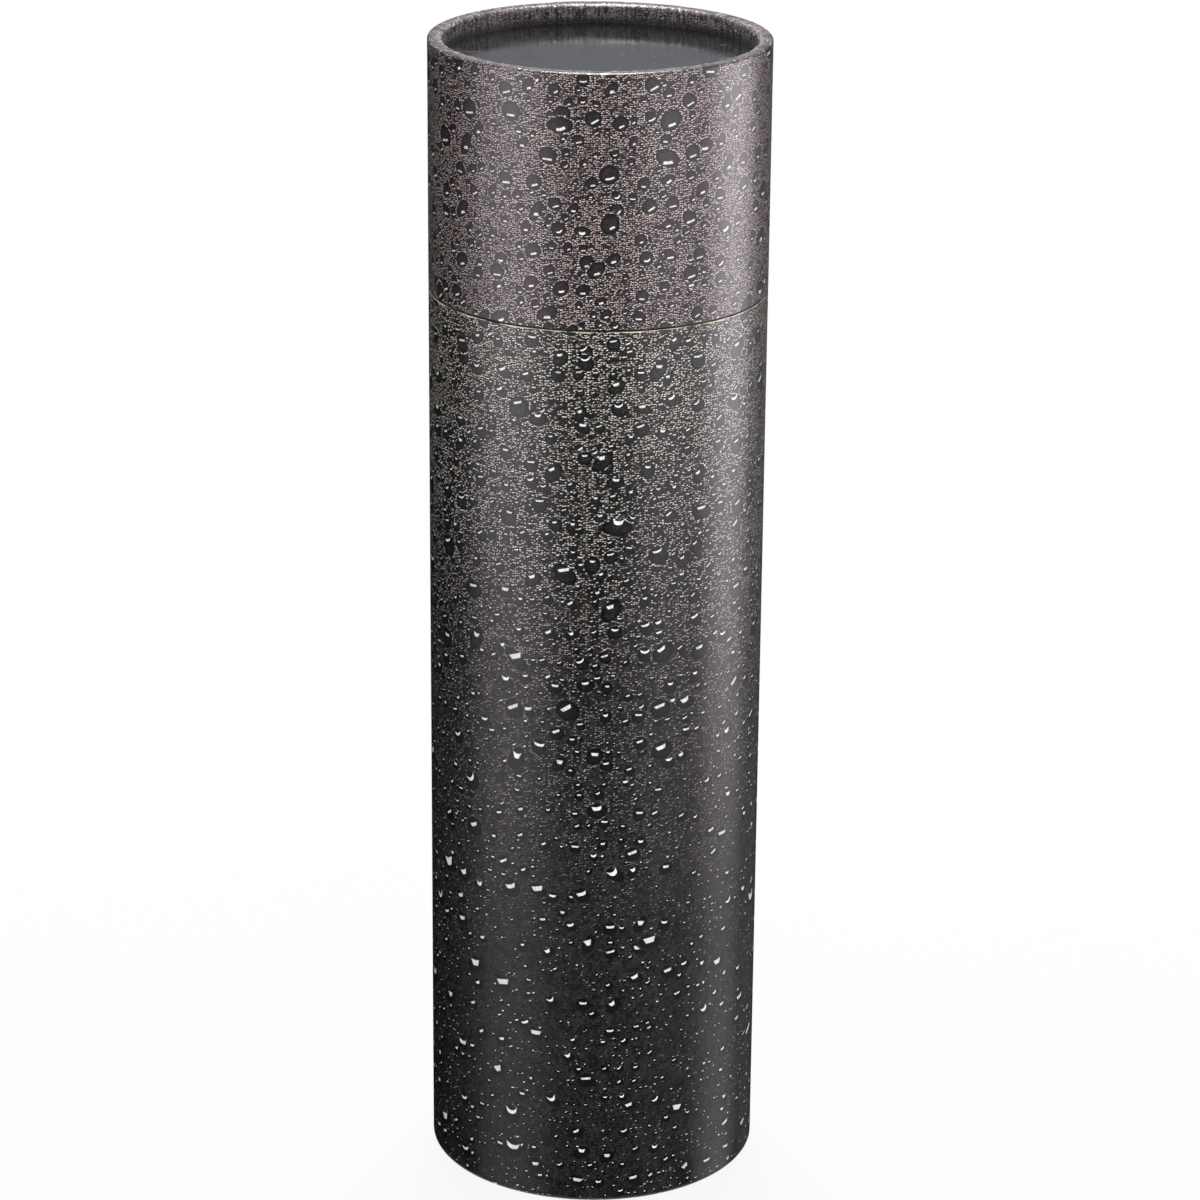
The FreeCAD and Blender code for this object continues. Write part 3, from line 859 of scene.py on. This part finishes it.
def disc_facing(name, node, up, seed):
    """A thin round paper on a board disc, dished and rippled a little.

    The surface is rings about the axis, closed by a point at each pole: out along the face, over the edge
    and back along the glued side. The face is lowered by a dish, and rippled by a mean of plane waves, and
    both die out towards the glued edge by the sixth power of the radius.
    """
    low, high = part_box(node)
    _, radius = node_radii(node)
    draw = np.random.default_rng(seed)
    rings, columns, waves = 34, 180, 6
    dish_depth, ripple_height = 0.12 * MM, 0.05 * MM
    out = np.linspace(0, 1, rings + 1)[1:] * radius
    turn = np.linspace(0, FULL_TURN, columns, endpoint=False)
    x, y = out[:, None] * np.cos(turn), out[:, None] * np.sin(turn)
    ways = draw.uniform(0, FULL_TURN, waves)
    wave_numbers = FULL_TURN / (draw.uniform(18, 40, waves) * MM)
    phases = draw.uniform(0, FULL_TURN, waves)
    along = x[..., None] * np.cos(ways) + y[..., None] * np.sin(ways)
    ripple = np.sin(along * wave_numbers + phases).mean(-1) * ripple_height
    fade = 1 - (out[:, None] / radius) ** 6
    sign = 1 if up else -1
    face_z = (high.z if up else low.z) + sign * (ripple - dish_depth) * fade
    back_z = np.full_like(x, low.z if up else high.z)
    face = np.stack([x, y, face_z], -1)
    back = np.stack([x, y, back_z], -1)[::-1]
    poles = np.array([[0, 0, face_z[0].mean()], [0, 0, back_z[0, 0]]])
    points = np.concatenate([face.reshape(-1, 3), back.reshape(-1, 3), poles])
    bands = 2 * rings
    here = np.arange(bands)[:, None] * columns + np.arange(columns)
    beside = np.roll(here, -1, axis=1)
    quads = np.stack([here[:-1], here[1:], beside[1:], beside[:-1]], -1).reshape(-1, 4)
    first = np.full(columns, bands * columns)
    top = np.stack([first, here[0], beside[0]], -1)
    bottom = np.stack([first + 1, beside[-1], here[-1]], -1)
    if not up:
        quads, top, bottom = quads[:, ::-1], top[:, ::-1], bottom[:, ::-1]
    mesh = bpy.data.meshes.new(name)
    mesh.from_pydata(points.tolist(), [], quads.tolist() + top.tolist() + bottom.tolist())
    mesh.polygons.foreach_set("use_smooth", np.ones(len(mesh.polygons), bool))
    mesh.set_sharp_from_angle(angle=math.radians(SHARP_DEGREES))
    piece = bpy.data.objects.new(name, mesh)
    bpy.context.scene.collection.objects.link(piece)
    return piece


class GIFTTUBE_OT_disc_facings(bpy.types.Operator):
    """Glossy black papers on the lid's top disc and under the base's"""

    bl_idname = "gifttube.disc_facings"
    bl_label = "Disc facings"

    def execute(self, context):
        laminate = black_laminate(context.scene.gift_tube.materials)
        lid = disc_facing("lid_disc_black_facing", "lid_disc_facing", up=True, seed=5)
        finish_piece(lid, laminate, "lid", "black_facing", "lid_disc_facing")
        base = disc_facing("base_disc_black_facing", "base_disc_facing", up=False, seed=6)
        finish_piece(base, laminate, "base", "black_facing", "base_disc_facing")
        return {"FINISHED"}


def uncoated_paper(name, shade, fleck, roughness):
    """Uncoated paper: matt, of felted fibres, a little cloudy and flecked."""
    material, tree = new_material(name)
    place = add(tree, COORDINATES)["Object"]
    fibres = {"Vector": place, "Scale": 1 / (0.9 * MM), "Detail": 5.0, "Roughness": 0.7}
    fibres = add(tree, NOISE, fibres)["Fac"]
    clouds = add(tree, NOISE, {"Vector": place, "Scale": 1 / (22 * MM), "Detail": 3.0})["Fac"]
    mottle = add(tree, MATH, (fibres, clouds), "ADD")[0]
    mottle = add(tree, RANGE, {"Value": mottle, "From Min": 0.75, "From Max": 1.25})[0]
    shades = {"A": opaque(linear(fleck)), "B": opaque(shade)}
    tint = add(tree, MIX, {"Factor": mottle, **shades}, **RGBA)["Result"]
    bump = add(tree, BUMP, {"Height": fibres, "Strength": 0.35, "Distance": 0.06 * MM})[0]
    finish = {"Base Color": tint, "Roughness": roughness, "Normal": bump, "Specular IOR Level": 0.3}
    add(tree, OUTPUT, {"Surface": add(tree, PRINCIPLED, finish)[0]})
    return material


def tube_profile(node, wrap, inner, step):
    """Outline of a plain paper tube: down the side that shows from its upper edge, and up the other."""
    low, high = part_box(node)
    near, far = node_radii(node)
    shown, hidden = (near, far) if inner else (far, near)
    down = steps_from_edge(high.z - low.z, step)
    back = np.linspace(high.z - low.z, 0, TUBE_BACK_ROWS)
    radius = np.append(np.full(len(down), shown), np.full(len(back), hidden))
    height = high.z - np.append(down, back)
    return {
        "radius": radius,
        "height": height,
        "across": np.append(-down, wrap.lining + back * BACK_SHARE),
        "normal": outline_normals(radius, height),
        "outside": np.append(np.ones(len(down)), np.zeros(len(back))),
        "girth_radius": shown,
    }


def spiral_seam(profile, wrap):
    """Relief of a spiral-wound lining: a low lap, a few millimetres wide, that climbs as a helix."""
    girth = FULL_TURN * profile["girth_radius"]
    lap_height = 0.12 * MM
    lap_share = 4 * MM / wrap.winding_pitch
    steep_share, gentle_share = 0.006, 0.02

    def relief(arc, across):
        phase = (arc[None, :] / girth + across[:, None] / wrap.winding_pitch) % 1.0
        raised = np.clip(phase / steep_share, 0, 1) * np.clip((lap_share - phase) / gentle_share, 0, 1)
        return lap_height * raised * profile["outside"][:, None]

    return relief


def plain(arc, across):
    """No relief at all."""
    return np.zeros((len(across), len(arc)))


class GIFTTUBE_OT_inside_papers(bpy.types.Operator):
    """Cover and lining of the neck, and the lining of the lid"""

    bl_idname = "gifttube.inside_papers"
    bl_label = "Inside papers"

    def execute(self, context):
        settings = context.scene.gift_tube
        wrap, look = settings.wrap, settings.materials
        lining = uncoated_paper("uncoated lining paper", look.lining, LINING_FLECK, roughness=0.85)
        dyed = uncoated_paper("dyed neck paper", look.neck, NECK_FLECK, roughness=0.6)
        profile = tube_profile("neck_cover", wrap, inner=False, step=12 * MM)
        cover = rolled_sheet("neck_paper_cover", profile, wrap, wrap.lining, plain, columns=360)
        finish_piece(cover, dyed, "base", "neck_paper", "neck_cover")
        for node, name, body in (
            ("neck_liner", "neck_paper_lining", "base"),
            ("lid_liner", "lid_paper_lining", "lid"),
        ):
            profile = tube_profile(node, wrap, inner=True, step=3 * MM)
            relief = spiral_seam(profile, wrap)
            piece = rolled_sheet(name, profile, wrap, 0.0, relief, columns=420)
            finish_piece(piece, lining, body, "lining_paper", node)
        finish_nodes(lining, ("lid_disc_lining", "base_disc_lining"))
        return {"FINISHED"}


def greyboard(look):
    """Wound greyboard: recycled fibre in plies, seen as rings on a cut edge, matt and flecked."""
    material, tree = new_material("wound greyboard")
    place = add(tree, COORDINATES)["Object"]
    level = add(tree, VECTOR, (place, (1, 1, 0)), "MULTIPLY")[0]
    radius = add(tree, VECTOR, (level,), "LENGTH")["Value"]
    wander = add(tree, NOISE, {"Vector": place, "Scale": 1 / (4 * MM), "Detail": 2.0})["Fac"]
    ply = add(tree, MATH, (radius, FULL_TURN / (0.42 * MM)), "MULTIPLY")[0]
    ply = add(tree, MATH, (wander, 5.0, ply), "MULTIPLY_ADD")[0]
    ply = add(tree, MATH, (ply,), "SINE")[0]
    fibres = {"Vector": place, "Scale": 1 / (0.5 * MM), "Detail": 4.0, "Roughness": 0.7}
    fibres = add(tree, NOISE, fibres)["Fac"]
    mottle = add(tree, MATH, (ply, 0.16, fibres), "MULTIPLY_ADD")[0]
    mottle = add(tree, RANGE, {"Value": mottle, "From Min": 0.25, "From Max": 0.75})[0]
    shades = {"A": opaque(linear(BOARD_FLECK)), "B": opaque(look.board)}
    tint = add(tree, MIX, {"Factor": mottle, **shades}, **RGBA)["Result"]
    bump = add(tree, BUMP, {"Height": mottle, "Strength": 0.4, "Distance": 0.1 * MM})[0]
    finish = {"Base Color": tint, "Roughness": 0.9, "Normal": bump, "Specular IOR Level": 0.2}
    add(tree, OUTPUT, {"Surface": add(tree, PRINCIPLED, finish)[0]})
    return material


class GIFTTUBE_OT_boards(bpy.types.Operator):
    """Greyboard finish on the wound tubes and die-cut discs"""

    bl_idname = "gifttube.boards"
    bl_label = "Boards"

    def execute(self, context):
        board = greyboard(context.scene.gift_tube.materials)
        finish_nodes(board, ("lid_tube", "lid_disc", "base_tube", "base_disc", "neck_tube"))
        return {"FINISHED"}


# The floor lies just under the tube and reaches past every view.
FLOOR_REACH = 14.0
FLOOR_DEPTH = 0.1 * MM
# Cards that the wall mirrors: name, first and last angle round the tube, distance from its wall, lift off
# the floor in mm, and the glow at the foot as a share of the full glow.
STRIP_TOP = 0.37
STRIPS = (
    ("right_strip", 35, 62, 0.20, 0.6, 0.16),
    ("front_strip", 10, 37, 0.20, 0.6, 0.05),
    ("left_strip", -47, -12, 0.20, 0.6, 0.19),
    ("edge_strip", 60, 80, 0.22, 0.5, 2.0),
)
# Height at which a strip has its full glow, beside the lid's lower edge.
FULL_GLOW_HEIGHT = 0.264
# The black card behind them: first and last angle, distance, height of its top and lift.
BLACK_CARD = (-90, 90, 0.6, 0.36, 0.3 * MM)
# Cards that the top disc and the rolled rim mirror.
BACK_CARD = ((-0.8, 1.2, 0.36), (0.8, 1.2, 0.36), (0.8, 1.2, 1.0), (-0.8, 1.2, 1.0))
RIM_CARD = ((-0.2, -0.5, 0.95), (0.2, -0.5, 0.95), (0.2, 0.35, 0.95), (-0.2, 0.35, 0.95))
WHITE = "#ffffff"
FLOOR_WHITE = "#ededed"
CARD_WHITE = "#fff8fd"
CARD_COOL = "#f2f5ff"
CARD_BLACK = "#0d0d0d"


def studio_white(tree, surface, lit):
    """Mixes white into a stage surface, for the eye, mirrors and glass alone, by a share or its output."""
    path = add(tree, "ShaderNodeLightPath")
    seen = path["Is Camera Ray"]
    for ray in ("Is Glossy Ray", "Is Transmission Ray"):
        seen = add(tree, MATH, (seen, path[ray]), "MAXIMUM")[0]
    share = add(tree, MATH, (seen, lit), "MULTIPLY")[0]
    white = add(tree, EMISSION, {"Color": opaque(linear(WHITE)), "Strength": 1.0})[0]
    return add(tree, "ShaderNodeMixShader", (share, surface, white))[0]


def floor_paint():
    """Pale floor: matt where light and shadow fall on it, near white for the eye, and whiter further out."""
    material, tree = new_material("pale floor")
    matt = add(tree, "ShaderNodeBsdfDiffuse", {"Color": opaque(linear(FLOOR_WHITE))})[0]
    away = add(tree, COORDINATES)["Object"]
    away = add(tree, VECTOR, (away,), "LENGTH")["Value"]
    shares = {"From Min": 0.08, "From Max": 0.5, "To Min": 0.9, "To Max": 1.0}
    whiter = add(tree, RANGE, {"Value": away, **shares}, **SMOOTH)[0]
    add(tree, OUTPUT, {"Surface": studio_white(tree, matt, whiter)})
    return material


def black_card():
    """Black card that takes the floor's white out of the wall's reflections."""
    material, tree = new_material("black card")
    matt = add(tree, "ShaderNodeBsdfDiffuse", {"Color": opaque(linear(CARD_BLACK))})[0]
    add(tree, OUTPUT, {"Surface": matt})
    return material


def strip_glow(name, strength, foot_share):
    """A strip that shines: most in the middle, and with only a share of its strength at its foot."""
    material, tree = new_material(name)
    height = add(tree, COORDINATES)["Object"]
    height = add(tree, SPLIT, {"Vector": height})[2]
    glows = {"From Max": FULL_GLOW_HEIGHT, "To Min": strength * foot_share, "To Max": strength}
    lit = add(tree, RANGE, {"Value": height, **glows})[0]
    along = add(tree, "ShaderNodeUVMap", uv_map="sheet")[0]
    along = add(tree, SPLIT, {"Vector": along})[0]
    along = add(tree, MATH, (along, math.pi), "MULTIPLY")[0]
    along = add(tree, MATH, (along,), "SINE")[0]
    lit = add(tree, MATH, (lit, along), "MULTIPLY")[0]
    glow = add(tree, EMISSION, {"Color": opaque(linear(CARD_WHITE)), "Strength": lit})[0]
    add(tree, OUTPUT, {"Surface": glow})
    return material


def even_glow(name, shade, strength):
    """A card that shines evenly."""
    material, tree = new_material(name)
    glow = add(tree, EMISSION, {"Color": opaque(linear(shade)), "Strength": strength})[0]
    add(tree, OUTPUT, {"Surface": glow})
    return material


def studio_world(ambient):
    """White all round for the eye, mirrors and glass, and an even light on the object."""
    world = bpy.data.worlds.new("studio")
    world.use_nodes = True
    tree = world.node_tree
    tree.nodes.clear()
    even = {"Color": opaque(linear(WHITE)), "Strength": ambient}
    even = add(tree, "ShaderNodeBackground", even)[0]
    add(tree, "ShaderNodeOutputWorld", {"Surface": studio_white(tree, even, 1.0)})
    return world


def round_the_tube(degrees, distance, height):
    """A place at an angle from the camera's side of the tube, positive to the right."""
    turn = math.radians(degrees)
    return Vector((distance * math.sin(turn), -distance * math.cos(turn), height))


def softbox(name, place, target, size, power):
    """A soft rectangle of light at a place, facing a target, that neither the eye nor gloss shows."""
    lamp = bpy.data.lights.new(name, "AREA")
    lamp.shape = "RECTANGLE"
    lamp.size, lamp.size_y = size
    lamp.energy = power
    holder = bpy.data.objects.new(name, lamp)
    bpy.context.scene.collection.objects.link(holder)
    holder.location = place
    holder.rotation_euler = (Vector(target) - Vector(place)).to_track_quat("-Z", "Y").to_euler()
    holder.visible_camera = False
    holder.visible_glossy = False


def place_camera(look):
    """The camera at the photograph's viewing angle: level distance, height, then yaw, pitch and roll."""
    yaw, pitch, roll = look.camera_yaw, look.camera_pitch, look.camera_roll
    right = Vector((math.cos(yaw), -math.sin(yaw), 0))
    level = Vector((math.sin(yaw), math.cos(yaw), 0))
    forward = level * math.cos(pitch) - Vector((0, 0, math.sin(pitch)))
    up = right.cross(forward)
    side = right * math.cos(roll) + up * math.sin(roll)
    crown = up * math.cos(roll) - right * math.sin(roll)
    lens = bpy.data.cameras.new("camera")
    lens.sensor_width = 36.0
    lens.lens = look.lens
    lens.clip_start, lens.clip_end = 0.05, 60.0
    holder = bpy.data.objects.new("camera", lens)
    bpy.context.scene.collection.objects.link(holder)
    turned = Matrix((side, crown, -forward)).transposed().to_4x4()
    holder.matrix_world = Matrix.Translation((0, -look.camera_distance, look.camera_height)) @ turned
    bpy.context.scene.camera = holder


def stage_plane(name, corners, material):
    """One flat stage face."""
    mesh = bpy.data.meshes.new(name)
    mesh.from_pydata(corners, [], [tuple(range(len(corners)))])
    mesh.materials.append(material)
    piece = bpy.data.objects.new(name, mesh)
    bpy.context.scene.collection.objects.link(piece)
    return piece


def only_in_reflections(card):
    """Hides a card from the eye and keeps it from shading anything, so that only gloss shows it."""
    card.visible_camera = False
    card.visible_diffuse = False
    card.visible_shadow = False


def mirrored_place(degrees, distance, height, camera_distance):
    """The place that the wall mirrors to the camera at an angle round the tube, at a distance from the wall.

    The level line from the camera to the wall is turned about the wall's normal there and carried on.
    """
    radius = CAD_BOX[1][0]
    normal = round_the_tube(degrees, 1.0, 0.0)
    to_camera = (Vector((0, -camera_distance, 0)) - normal * radius).normalized()
    away = 2 * normal.dot(to_camera) * normal - to_camera
    return normal * radius + away * distance + Vector((0, 0, height))


def gloss_card(name, first_degrees, last_degrees, distance, tall, lift, camera_distance, material):
    """A card on the floor and up a wall, where the tube mirrors it to the camera between two angles.

    The surface is three rows of points, beside the tube, at the wall's foot and at its top. Each corner's UV
    is its share of the way from the first angle to the last.
    """
    columns = 17
    turns = np.linspace(first_degrees, last_degrees, columns)
    rows = ((1 * MM, lift), (distance, lift), (distance, tall))
    points = np.array([mirrored_place(turn, *row, camera_distance) for row in rows for turn in turns])
    here = np.arange(2 * columns).reshape(2, columns)[:, :-1].ravel()
    corners = np.stack([here, here + 1, here + columns + 1, here + columns], axis=-1)
    share = (corners % columns) / (columns - 1)
    card = put_mesh(name, points, corners, np.stack([share, share], axis=-1), sharp_degrees=180)
    card.data.materials.append(material)
    only_in_reflections(card)


class GIFTTUBE_OT_stage(bpy.types.Operator):
    """Camera, pale floor, soft lights and cards"""

    bl_idname = "gifttube.stage"
    bl_label = "Stage"

    def execute(self, context):
        look = context.scene.gift_tube.stage
        place_camera(look)
        # Softboxes: place, what they face, width and height, and power.
        middle = 0.17
        for name, place, target, size, power in (
            ("key_softbox", round_the_tube(10, 1.2, middle), (0, 0, middle), (1.0, 0.32), look.key),
            ("back_softbox", round_the_tube(180, 1.2, middle), (0, 0, middle), (1.0, 0.32), look.back),
            ("top_softbox", (0, 0.5, 1.0), (0, 0, 0.33), (0.5, 0.3), look.top),
        ):
            softbox(name, place, target, size, power)

        ways = ((-1, -1), (1, -1), (1, 1), (-1, 1))
        corners = [(x * FLOOR_REACH, y * FLOOR_REACH, -FLOOR_DEPTH) for x, y in ways]
        stage_plane("floor", corners, floor_paint())

        gloss_card("black_card", *BLACK_CARD, look.camera_distance, black_card())
        for name, first, last, distance, lift_mm, foot_share in STRIPS:
            paint = strip_glow(name, getattr(look, name), foot_share)
            gloss_card(name, first, last, distance, STRIP_TOP, lift_mm * MM, look.camera_distance, paint)
        grey = even_glow("grey card", CARD_COOL, look.back_card)
        only_in_reflections(stage_plane("back_card", BACK_CARD, grey))
        rim_card = stage_plane("rim_card", RIM_CARD, even_glow("rim card", CARD_WHITE, look.rim_card))
        only_in_reflections(rim_card)
        # The card overhead lights the rim's paper only, so that the black disc stays black from above.
        rim_papers = bpy.data.collections.new("rim papers")
        rim_papers.objects.link(bpy.data.objects["lid_printed_wrap"])
        rim_card.light_linking.receiver_collection = rim_papers

        context.scene.world = studio_world(look.ambient)
        context.scene.view_settings.view_transform = "Standard"
        return {"FINISHED"}


OPERATORS = (
    GIFTTUBE_OT_lid_wrap,
    GIFTTUBE_OT_base_wrap,
    GIFTTUBE_OT_disc_facings,
    GIFTTUBE_OT_inside_papers,
    GIFTTUBE_OT_boards,
    GIFTTUBE_OT_stage,
)


class GIFTTUBE_PT_panel(bpy.types.Panel):
    """Lists the pieces of the gift tube and their settings"""

    bl_idname = "GIFTTUBE_PT_panel"
    bl_label = "Gift Tube Box"
    bl_space_type = "VIEW_3D"
    bl_region_type = "UI"
    bl_category = "Gift Tube"

    def draw(self, context):
        settings = context.scene.gift_tube
        for group in (settings.wrap, settings.design, settings.materials, settings.stage):
            box = self.layout.box()
            for name in group.__annotations__:
                box.prop(group, name)
        for operator in OPERATORS:
            self.layout.operator(operator.bl_idname)


CLASSES = (
    GiftTubeWrap,
    GiftTubePrint,
    GiftTubeMaterials,
    GiftTubeStage,
    GiftTubeSettings,
    *OPERATORS,
    GIFTTUBE_PT_panel,
)


def register():
    for cls in CLASSES:
        bpy.utils.register_class(cls)
    bpy.types.Scene.gift_tube = PointerProperty(type=GiftTubeSettings)


def unregister():
    del bpy.types.Scene.gift_tube
    for cls in reversed(CLASSES):
        bpy.utils.unregister_class(cls)


def main():
    register()
    bpy.ops.gifttube.lid_wrap()
    bpy.ops.gifttube.base_wrap()
    bpy.ops.gifttube.disc_facings()
    bpy.ops.gifttube.inside_papers()
    bpy.ops.gifttube.boards()
    bpy.ops.gifttube.stage()


if __name__ == "__main__":
    main()
